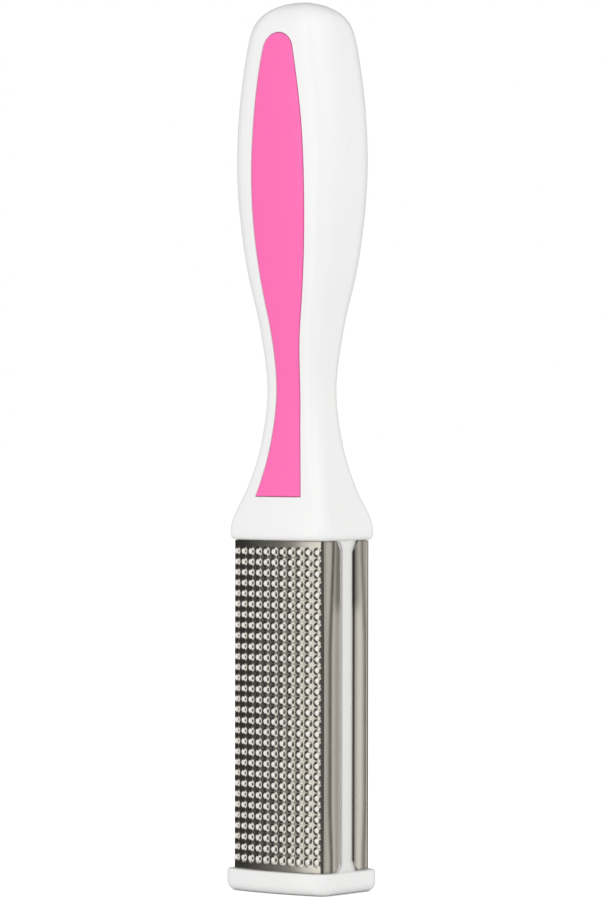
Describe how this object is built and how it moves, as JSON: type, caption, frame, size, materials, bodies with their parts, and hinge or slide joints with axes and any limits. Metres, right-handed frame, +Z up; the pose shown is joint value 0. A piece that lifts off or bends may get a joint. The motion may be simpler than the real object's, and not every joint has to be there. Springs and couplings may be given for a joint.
{
  "type": "foot file",
  "caption": "Two-sided metal foot file: a paddle handle with pink inlays and a long head that carries a coarse and a fine stamped steel plate above an end block.",
  "frame": {"origin": "centre of the flat end of the end block, which the file stands on", "axes": "+Z up along the handle, +X to the right across the wide face, -Y out of the coarse face"},
  "size_m": [0.0338, 0.0262, 0.2243],
  "materials": {
    "white_plastic": "gloss",
    "pink_plastic": "satin",
    "steel": "bright nickel plate"
  },
  "bodies": {
    "root": {"frame": "white_plastic", "inlay_front": "pink_plastic", "inlay_back": "pink_plastic", "plate_coarse": "steel", "plate_fine": "steel"}
  },
  "joints": []
}
